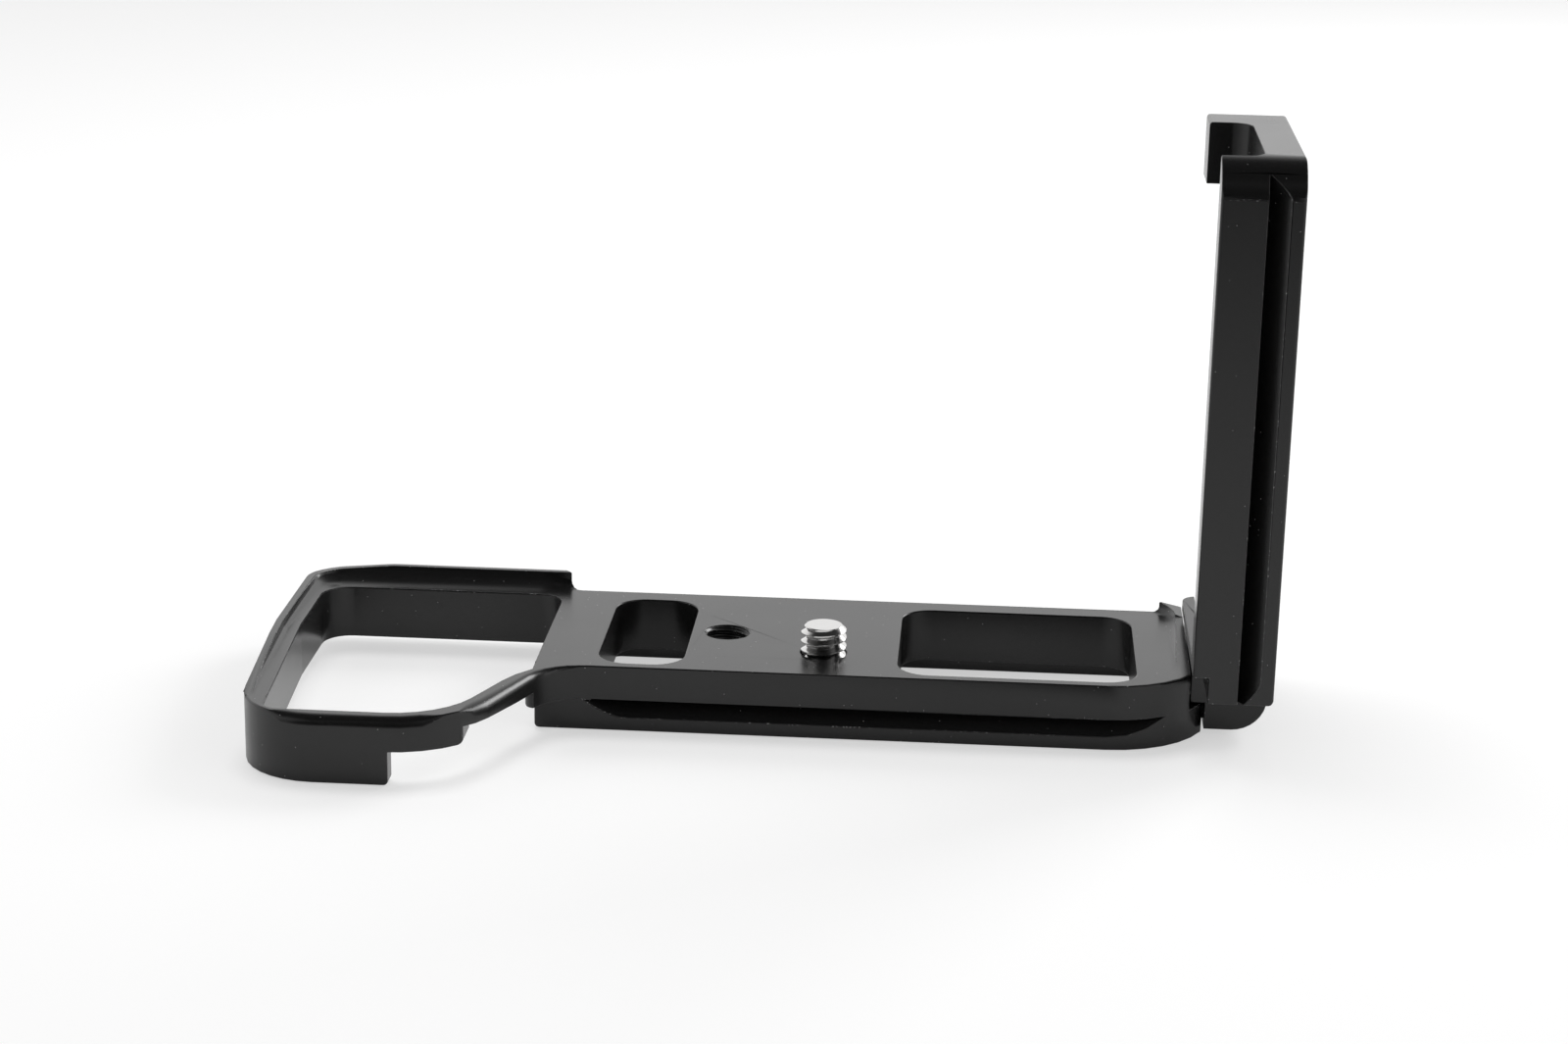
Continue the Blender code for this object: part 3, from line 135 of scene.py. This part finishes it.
class Finish:
    """A material and its nodes."""

    def __init__(self, name):
        self.material = bpy.data.materials.new(name)
        self.material.use_nodes = True
        self.tree = self.material.node_tree
        self.shader = self.tree.nodes["Principled BSDF"]
        self.place = self.node("ShaderNodeTexCoord", output="Object")

    def node(self, kind, settings=None, inputs=None, output=0):
        """Adds a node, sets it up, links or sets its inputs and wraps one of its outputs."""
        made = self.tree.nodes.new(kind)
        for name, value in (settings or {}).items():
            setattr(made, name, value)
        for name, value in (inputs or {}).items():
            self.join(made.inputs[name], value)
        return Socket(self, made.outputs[output])

    def join(self, socket, value):
        if isinstance(value, Socket):
            self.tree.links.new(value.output, socket)
        else:
            socket.default_value = value

    def noise(self, size, detail=DETAIL, roughness=NOISE_ROUGH, stretch=(1, 1, 1)):
        """Noise from 0 to 1. Its lumps are size metres across, divided by stretch along each axis."""
        scale = [factor / size for factor in stretch]
        scaled = self.node("ShaderNodeMapping", inputs={"Vector": self.place, "Scale": scale})
        return self.node("ShaderNodeTexNoise", {}, {"Vector": scaled, "Scale": 1.0, "Detail": detail,
                                                    "Roughness": roughness}, "Fac")

    def specks(self, spacing, size, share):
        """1 on small round specks, in the few cells whose random value is above share."""
        cells = self.node("ShaderNodeTexVoronoi", {}, {"Vector": self.place, "Scale": 1 / spacing},
                          "Distance")
        colour = Socket(self, cells.output.node.outputs["Color"])
        random = self.node("ShaderNodeSeparateColor", inputs={"Color": colour})
        return (1 - cells.above(size, size * SPECK_RIM)) * random.above(share, share + SHARE_STEP)

    def mix(self, share, first, second):
        """A colour between two colours."""
        inputs = {"Factor": share, MIX_COLOURS[0]: first, MIX_COLOURS[1]: second}
        return self.node("ShaderNodeMix", {"data_type": "RGBA"}, inputs, MIX_RESULT)

    def set(self, **values):
        for name, value in values.items():
            self.join(self.shader.inputs[name.replace("_", " ")], value)

    def bump(self, height, deep):
        """Relief of deep metres where height is 1."""
        self.set(Normal=self.node("ShaderNodeBump", inputs={"Height": height, "Distance": deep}))


def grey(level, warm=0.0):
    return (level * (1 + warm), level, level * (1 - warm), 1.0)


# %% [markdown]
# ## Anodised aluminium
#
# Plates like these are often bead blasted before they are dyed, which leaves a fine even grain
# that softens every reflection. The dye is nearly black, so almost all that one sees is the clear
# oxide's gloss: weak where a face is seen square on, strong where it is seen at a low angle. A
# plain dielectric does just that. The grain is a small bump, a larger noise makes the sheen drift
# a little, and a few dust specks lie on it.

# %% Black anodised finish
BLACK = 0.009
SATIN = 0.26                       # roughness of the blasted faces
GRAIN = 0.10 * MM
GRAIN_DEEP = 0.0012 * MM
GRAIN_ROUGH = 0.6                  # how strong the grain's finer layers are
FINE_DETAIL = 3.0                  # finer layers of the grain and the drift
DRIFT = 9 * MM
DYE_DRIFT = 0.15                   # share by which the dye is lighter or darker
SATIN_DRIFT = 0.05                 # how far the roughness drifts
SPECK = 0.55 * MM                  # how far apart the dust may lie
SPECK_SIZE = 0.075                 # of that distance
SPECK_SHARE = 0.93                 # only cells above this share hold a speck
DUST = 0.40                        # grey of the dust
DUST_DULL = 0.3                    # by which the dust is rougher
OXIDE_GLOSS = 0.42                 # the oxide reflects a little less than clear plastic


def anodised(name, level, roughness):
    finish = Finish(name)
    drift = finish.noise(DRIFT, FINE_DETAIL)
    grain = finish.noise(GRAIN, FINE_DETAIL, GRAIN_ROUGH)
    dust = finish.specks(SPECK, SPECK_SIZE, SPECK_SHARE)
    dyed = finish.mix(drift, grey(level * (1 - DYE_DRIFT)), grey(level * (1 + DYE_DRIFT)))
    satin = drift * SATIN_DRIFT + (roughness - SATIN_DRIFT / 2)
    finish.set(Base_Color=finish.mix(dust, dyed, grey(DUST)), Roughness=satin + dust * DUST_DULL)
    finish.bump(grain, GRAIN_DEEP)
    finish.shader.inputs["Specular IOR Level"].default_value = OXIDE_GLOSS
    return finish.material


black = anodised("black_anodised", BLACK, SATIN)

# %% [markdown]
# ## Broken edges
#
# No milled edge is left knife sharp: a light chamfer is run round it, and that is where the dye
# rubs through first. It gets a finish of its own, a slightly paler black with tiny bare dots,
# which gather in patches.

# %% Worn edge finish
EDGE_BLACK = 0.02
EDGE_SATIN = 0.36
WORN = 0.22 * MM
WORN_ROUGH = 0.7                   # how ragged the dots are
DOT_LEVELS = (0.60, 0.66)          # the noise's levels at which a dot begins and is whole
PATCH = 3 * MM
PATCH_LEVELS = (0.45, 0.60)        # the same for the patches in which the dots lie
BARE = 0.50                        # grey of the bare dots
BARE_DULL = 0.1                    # by which they are rougher


def worn_edge(name, level, roughness):
    finish = Finish(name)
    dots = finish.noise(WORN, roughness=WORN_ROUGH).above(*DOT_LEVELS)
    rubbed = dots * finish.noise(PATCH).above(*PATCH_LEVELS)
    colour = finish.mix(rubbed, grey(level), grey(BARE))
    finish.set(Base_Color=colour, Roughness=rubbed * BARE_DULL + roughness)
    return finish.material


edge_black = worn_edge("rubbed_edge", EDGE_BLACK, EDGE_SATIN)

# %% [markdown]
# ## Steel
#
# A screw like this is turned from stainless steel and polished: a metal with very fine lines
# round it. The hidden spring ring is darker, as hardened spring steel is.

# %% Steel finishes
STAINLESS = (0.60, 0.15)           # grey and roughness
SPRING_STEEL = (0.2, 0.35)
WARM = 0.01                        # a touch more red than blue
STEEL_DRIFT = 2 * MM
DARKEST = 0.92                     # of the steel's grey, where it is darkest
STEEL_ROUGH_DRIFT = 0.08
LINES = 0.12 * MM
LINES_STRETCH = (0.2, 0.2, 3.0)    # the lines are long across the screw and fine up it
LINES_DEEP = 0.0006 * MM


def steel(name, level, roughness):
    finish = Finish(name)
    drift = finish.noise(STEEL_DRIFT, FINE_DETAIL)
    lines = finish.noise(LINES, stretch=LINES_STRETCH)
    colour = finish.mix(drift, grey(level * DARKEST, WARM), grey(level, WARM))
    polish = drift * STEEL_ROUGH_DRIFT + (roughness - STEEL_ROUGH_DRIFT / 2)
    finish.set(Base_Color=colour, Metallic=1.0, Roughness=polish)
    finish.bump(lines, LINES_DEEP)
    return finish.material


bright_steel = steel("polished_steel", *STAINLESS)
dark_steel = steel("spring_steel", *SPRING_STEEL)
print("finishes:", ", ".join(finish.name for finish in (black, edge_black, bright_steel, dark_steel)))

# %% [markdown]
# ## Working on copies
#
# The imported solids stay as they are. What is cut or chamfered is a copy with its triangles
# joined, which then stands for its node on the same body. Smooth shading weighs each face by the
# whole flat region that it is part of, so that a flat face stays flat beside a round.

# %% Piece helpers
BREAK_STEPS = 2                    # facets across a broken edge


def copy_of(name, new_name):
    """A piece of its own with the node's mesh, its loose triangles joined."""
    bpy.ops.object.select_all(action="DESELECT")
    piece = bpy.data.objects.new(new_name, nodes[name].data.copy())
    bpy.context.scene.collection.objects.link(piece)
    piece.data.materials.clear()
    bpy.context.view_layer.objects.active = piece
    piece.select_set(True)
    bpy.ops.object.mode_set(mode="EDIT")
    bpy.ops.mesh.select_all(action="SELECT")
    bpy.ops.mesh.remove_doubles(threshold=WELD)
    bpy.ops.object.mode_set(mode="OBJECT")
    return piece


def break_edges(piece, width):
    """Chamfers the piece's sharp edges. The chamfers get its second material."""
    bpy.ops.object.select_all(action="DESELECT")
    bpy.context.view_layer.objects.active = piece
    piece.select_set(True)
    bpy.ops.object.mode_set(mode="EDIT")
    bpy.ops.mesh.select_mode(type="EDGE")
    bpy.ops.mesh.select_all(action="DESELECT")
    bpy.ops.mesh.edges_select_sharp(sharpness=math.radians(SHARP_ANGLE))
    bpy.ops.mesh.bevel(offset=width, segments=BREAK_STEPS, material=1, clamp_overlap=False)
    bpy.ops.object.mode_set(mode="OBJECT")


def keep_inside(piece, name):
    """Chamfers that meet at odd angles can overshoot. Such points go back to the solid's surface."""
    source = nodes[name].data
    solid = BVHTree.FromPolygons([point.co.copy() for point in source.vertices],
                                 [list(face.vertices) for face in source.polygons])
    low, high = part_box(name)
    moved = 0
    for point in piece.data.vertices:
        near, normal, _, _ = solid.find_nearest(point.co)
        if (point.co - near).dot(normal) > LOOSE:
            point.co = near
            moved += 1
        point.co = [min(max(value, least), most) for value, least, most in zip(point.co, low, high)]
    print(moved, "points of", piece.name, "are back on the solid")


def flat_regions(shape):
    """The total area of the flat region that each face belongs to."""
    area, done = {}, set()
    for first in shape.faces:
        if first in done:
            continue
        region, waiting = [], [first]
        done.add(first)
        while waiting:
            face = waiting.pop()
            region.append(face)
            for edge in face.edges:
                for other in edge.link_faces:
                    if other not in done and face.normal.angle(other.normal, 0) < math.radians(FLAT_ANGLE):
                        done.add(other)
                        waiting.append(other)
        total = sum(face.calc_area() for face in region)
        area.update((face.index, total) for face in region)
    return area


def smooth(piece):
    """Shades curved faces smooth. Where one meets a flat face, the flat face's direction wins."""
    mesh = piece.data
    shape = bmesh.new()
    shape.from_mesh(mesh)
    area = flat_regions(shape)
    closest = math.cos(math.radians(SMOOTH_ANGLE))
    normals = {}
    for face in shape.faces:
        for corner in face.loops:
            around = [other for other in corner.vert.link_faces
                      if other.normal.dot(face.normal) > closest]
            total = sum((other.normal * area[other.index] for other in around), Vector())
            normals[corner.index] = total.normalized()
    order = [normals[index] for index in range(len(mesh.loops))]
    shape.free()
    mesh.polygons.foreach_set("use_smooth", [True] * len(mesh.polygons))
    mesh.normals_split_custom_set(order)


def stand_for(piece, name, body):
    """The piece takes the node's place on its body."""
    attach(piece, body)
    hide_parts(name)
    print(piece.name, "stands for", name, "with", len(piece.data.polygons), "faces")


# %% [markdown]
# ## Threads
#
# The captive screw has a 1/4 inch thread: 6.35 mm across, 20 turns to the inch. A thread is cut
# from a turned blank by a tool that climbs one pitch in each turn. The Screw modifier does the
# same to the outline of the groove, and a Boolean takes the coil that it makes from the blank.
# The deck's small hole has the same thread on its inside.

# %% A coil that cuts a thread
PITCH = 1.27 * MM
THREAD_STEPS = 48                  # facets in one turn of a thread
ROUND_TRIP = (0, 1, 3, 2)          # a plane's corners in the order in which one walks round it


def thread_coil(name, axis, start, turns, near, far, near_high, far_high):
    """A coil round a vertical axis, from near to far from it. Its outline has a height at each."""
    bpy.ops.object.select_all(action="DESELECT")
    bpy.ops.mesh.primitive_plane_add(size=PITCH, location=(axis[0], axis[1], start))
    coil = bpy.context.object
    coil.name = name
    outline = [(near, -near_high / 2), (far, -far_high / 2), (far, far_high / 2), (near, near_high / 2)]
    for number, (out, up) in zip(ROUND_TRIP, outline):
        coil.data.vertices[number].co = (out, 0, up)
    climb = coil.modifiers.new("climb", "SCREW")
    climb.axis = "Z"
    climb.angle = math.tau
    climb.screw_offset = PITCH
    climb.iterations = turns
    climb.steps = climb.render_steps = THREAD_STEPS
    bpy.ops.object.modifier_apply(modifier=climb.name)
    bpy.ops.object.mode_set(mode="EDIT")
    bpy.ops.mesh.select_all(action="SELECT")
    bpy.ops.mesh.remove_doubles(threshold=WELD)
    bpy.ops.mesh.select_all(action="DESELECT")
    bpy.ops.mesh.select_mode(type="EDGE")
    bpy.ops.mesh.select_non_manifold()
    bpy.ops.mesh.fill()
    bpy.ops.mesh.select_all(action="SELECT")
    bpy.ops.mesh.normals_make_consistent(inside=False)
    bpy.ops.object.mode_set(mode="OBJECT")
    bpy.ops.object.transform_apply(location=True, rotation=True, scale=True)
    return coil


def cut(piece, tool):
    """Takes the tool's shape from the piece and removes the tool."""
    bpy.ops.object.select_all(action="DESELECT")
    bpy.context.view_layer.objects.active = piece
    piece.select_set(True)
    saw = piece.modifiers.new("saw", "BOOLEAN")
    saw.operation = "DIFFERENCE"
    saw.solver = "EXACT"
    saw.object = tool
    bpy.ops.object.modifier_apply(modifier=saw.name)
    bpy.data.objects.remove(tool)
    print(piece.name, "is cut and has", len(piece.data.polygons), "faces")


# %% [markdown]
# The screw's crests lie 3.175 mm from its axis. The groove leaves a narrow flat on them, which is
# the bright line that one sees in each turn, and starts below the deck's top.

# %% Threaded screw
low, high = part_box("camera_screw")
SCREW_AXIS = ((low.x + high.x) / 2, (low.y + high.y) / 2)
FIRST_GROOVE = 7.125 * MM          # height at which the groove starts
SCREW_TURNS = 6
ROOT = 2.45 * MM                   # from the axis to the groove's floor
PAST_CREST = 3.25 * MM             # the coil ends just outside the crests
ROOT_HIGH = 0.22 * MM              # the coil's height at its inner side
PAST_CREST_HIGH = 1.22 * MM        # and at its outer side

screw = copy_of("camera_screw", "camera_screw_threaded")
cut(screw, thread_coil("thread_groove", SCREW_AXIS, FIRST_GROOVE, SCREW_TURNS,
                       ROOT, PAST_CREST, ROOT_HIGH, PAST_CREST_HIGH))
screw.data.materials.append(bright_steel)
screw.data.materials.append(bright_steel)
smooth(screw)
stand_for(screw, "camera_screw", "screw")

# %% [markdown]
# ## Plates
#
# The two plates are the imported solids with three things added: the thread in the deck's hole,
# the large round on the upright's front corner, and the broken edges.

# %% The plates and the thread in the deck's hole
HOLE_AXIS = (-13.7 * MM, 0.0)
HOLE_START = -1.4 * MM             # below the deck's underside
HOLE_TURNS = 10
INSIDE_HOLE = 2.7 * MM             # from the axis to where the coil begins, in the open hole
HOLE_ROOT = 3.3 * MM               # from the axis to the groove's floor
INSIDE_HOLE_HIGH = 1.1 * MM        # the coil's height at its inner side
HOLE_ROOT_HIGH = 0.16 * MM         # and at its outer side

plates = {name: copy_of(name, name + "_finished") for name in ("base_plate", "side_plate")}
for plate in plates.values():
    plate.data.materials.append(black)
    plate.data.materials.append(edge_black)

cut(plates["base_plate"], thread_coil("hole_groove", HOLE_AXIS, HOLE_START, HOLE_TURNS,
                                      INSIDE_HOLE, HOLE_ROOT, INSIDE_HOLE_HIGH, HOLE_ROOT_HIGH))

# %% [markdown]
# The upright's front top corner has a much larger round, 6 mm, which could be run with a form
# cutter. It doesn't run out quite flush with the front face: the light breaks there in a sharp
# line. A block with a cylinder taken out of it is what such a cutter removes.

# %% The round on the upright's front corner
ROUND_START = 76.9 * MM            # height at which the upright's front corner begins to turn
ROUND_KINK = math.radians(8)       # by which the round's start differs from the front face
ROUND_SIDES = 144                  # facets of the whole cylinder
CUTTER_LONG = 30 * MM              # the block's length across the upright
SPARE = 1 * MM                     # by which the block stands out in front and above

low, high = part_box("side_plate")
round_radius = (high.z - ROUND_START) / (1 - math.sin(ROUND_KINK))
centre_y = low.y + round_radius * math.cos(ROUND_KINK)
centre_z = high.z - round_radius
print("the upright's corner has a round of", round(round_radius / MM, 2), "mm")
bpy.ops.mesh.primitive_cube_add(size=1)
corner = bpy.context.object
corner.name = "corner_cutter"
corner.scale = (CUTTER_LONG, centre_y - low.y + SPARE, high.z - ROUND_START + SPARE)
corner.location = (high.x, (centre_y + low.y - SPARE) / 2, (high.z + ROUND_START + SPARE) / 2)
bpy.ops.object.transform_apply(location=True, rotation=True, scale=True)
bpy.ops.mesh.primitive_cylinder_add(vertices=ROUND_SIDES, radius=round_radius, depth=2 * CUTTER_LONG,
                                    location=(high.x, centre_y, centre_z),
                                    rotation=(0, math.radians(90), 0))
bpy.ops.object.transform_apply(location=True, rotation=True, scale=True)
cut(corner, bpy.context.object)
corner.data.materials.append(black)
cut(plates["side_plate"], corner)

# %% [markdown]
# The edges are broken last, so that the new rounds get their chamfers too. Then each copy takes
# its node's place, and the pieces that stay as packed get their metal.

# %% The plates take their nodes' places
BREAK = 0.12 * MM
LOOSE = 0.005 * MM                 # how far a point may stand out of the solid
BODY_OF = {"base_plate": "base", "side_plate": "side"}
for name, plate in plates.items():
    break_edges(plate, BREAK)
    keep_inside(plate, name)
    smooth(plate)
    stand_for(plate, name, BODY_OF[name])

# %% Dress the CAD pieces
FINISH_OF = {"snap_ring": dark_steel}
for name, node in nodes.items():
    node.data.materials.clear()
    node.data.materials.append(FINISH_OF.get(name, bright_steel))

# %% [markdown]
# ## Floor and light
#
# The photograph shows a white ground. The floor here is pale paper. To the camera and in
# reflections it gives off a little light of its own, which brings its open parts near white and
# leaves the bracket's shadow. The camera sees less paper and more of that light than reflections
# do, so the shadow that it sees is shallower. Far in front of the bracket, for all but the camera,
# the paper's colour fades to near black: painted shade that stands for the dark room.

# %% Floor
FLOOR_SIZE = 6.0
FLOOR_GAP = 0.15 * MM
PAPER = 0.86                       # grey of the paper, and the glow that reflections see on it
PAPER_GLOW = 0.225
SEEN_PAPER = 0.47                  # the same two for the camera
SEEN_GLOW = 0.55
PAPER_END = 0.15                   # metres in front of the bracket up to which the paper is whole
ROOM_SHADE_FULL = 0.70                 # and from which on its colour is the full painted shade of the dark room
ROOM_SHADE_GREY = 0.03                       # painted shade: grey of the floor there, standing for the dark room
PAPER_ROUGH = 0.9
PAPER_GLOSS = 0.2

bpy.ops.object.select_all(action="DESELECT")
bpy.ops.mesh.primitive_plane_add(size=FLOOR_SIZE, location=(0, 0, -FLOOR_GAP))
floor = bpy.context.object
floor.name = "floor"
paper = Finish("paper")
ray = paper.node("ShaderNodeLightPath", output="Is Camera Ray")
kinds = ray.output.node.outputs
mirrored = Socket(paper, kinds["Is Glossy Ray"]) + Socket(paper, kinds["Is Transmission Ray"])
across = paper.node("ShaderNodeSeparateXYZ", inputs={0: paper.place})
near = 1 - (0 - Socket(paper, across.output.node.outputs["Y"])).above(PAPER_END, ROOM_SHADE_FULL)
# Far in front, for all rays but the camera's, the paper's colour falls to the painted shade of the dark
# room.
colour = ray * SEEN_PAPER + (1 - ray) * (near * (PAPER - ROOM_SHADE_GREY) + ROOM_SHADE_GREY)
glow = ray * SEEN_GLOW + mirrored * near * PAPER_GLOW
paper.set(Base_Color=colour, Roughness=PAPER_ROUGH, Emission_Color=glow)
paper.shader.inputs["Emission Strength"].default_value = 1.0
paper.shader.inputs["Specular IOR Level"].default_value = PAPER_GLOSS
floor.data.materials.append(paper.material)
print("the floor lies", round(FLOOR_GAP / MM, 2), "mm under the bracket")

# %% [markdown]
# ## Studio
#
# White walls stand behind and beside the table, and the room behind the camera and the ceiling
# are dark. All of it is in the world's colour: the deck and the upright's top mirror the wall
# behind them at a low angle and turn pale, and the faces towards the camera mirror the dark room
# and stay nearly black.

# %% World
WALL_LEVEL = 1.2
ROOM_LEVEL = 0.02                  # the dark room behind the camera, as a share of the walls
ROOM_EDGE = (0.45, 0.85)           # how much a direction points to the front where it begins and is whole
CEILING_LEVEL = 0.03
CEILING_EDGE = (0.50, 0.85)        # the same upwards, for the ceiling
BACKDROP = 0.965                   # what the camera sees behind the floor's edge
world = bpy.data.worlds.new("studio")
world.use_nodes = True


class Studio(Finish):
    """The world's nodes, with the same helpers as a finish."""

    def __init__(self, world):
        self.tree = world.node_tree
        self.shader = self.tree.nodes["Background"]
        self.place = self.node("ShaderNodeTexCoord", output="Generated")


studio = Studio(world)
split = studio.node("ShaderNodeSeparateXYZ", inputs={0: studio.place})
forward = Socket(studio, split.output.node.outputs["Y"])
up = Socket(studio, split.output.node.outputs["Z"])
room = (0 - forward).above(*ROOM_EDGE)
ceiling = up.above(*CEILING_EDGE)
level = (1 - room * (1 - ROOM_LEVEL)) * (1 - ceiling * (1 - CEILING_LEVEL)) * WALL_LEVEL
camera_ray = studio.node("ShaderNodeLightPath", output="Is Camera Ray")
studio.set(Color=grey(1.0), Strength=level + camera_ray * (BACKDROP - level))
bpy.context.scene.world = world


# %% [markdown]
# Two softboxes add what the walls can't. The one above, a little behind the bracket, lights the
# floor and the dull part of the finish, casts the shadow and is kept out of reflections. The one
# at the back right draws the soft line along the frame's arm and the glints on the screw.

# %% Softboxes
TOP_PLACE = (-0.10, 0.22, 0.75)    # metres
TOP_SIZE = (0.40, 0.30)
TOP_POWER = 2.4                    # watts
SIDE_PLACE = (0.52, 0.52, 0.38)
SIDE_SIZE = (0.35, 0.35)
SIDE_POWER = 3.2


def softbox(name, place, size, power):
    """A rectangular lamp that points at the origin."""
    light = bpy.data.lights.new(name, "AREA")
    light.shape = "RECTANGLE"
    light.size, light.size_y = size
    light.energy = power
    lamp = bpy.data.objects.new(name, light)
    lamp.location = place
    lamp.rotation_euler = (-Vector(place)).to_track_quat("-Z", "Y").to_euler()
    bpy.context.scene.collection.objects.link(lamp)
    print(name, "stands", round(lamp.location.length, 2), "m from the bracket")
    return lamp


top_light = softbox("top_light", TOP_PLACE, TOP_SIZE, TOP_POWER)
top_light.visible_glossy = False
softbox("side_light", SIDE_PLACE, SIDE_SIZE, SIDE_POWER)

# %% [markdown]
# ## Colour handling
#
# The standard view keeps the levels as they are rendered.

# %% Colour handling
bpy.context.scene.view_settings.view_transform = "Standard"
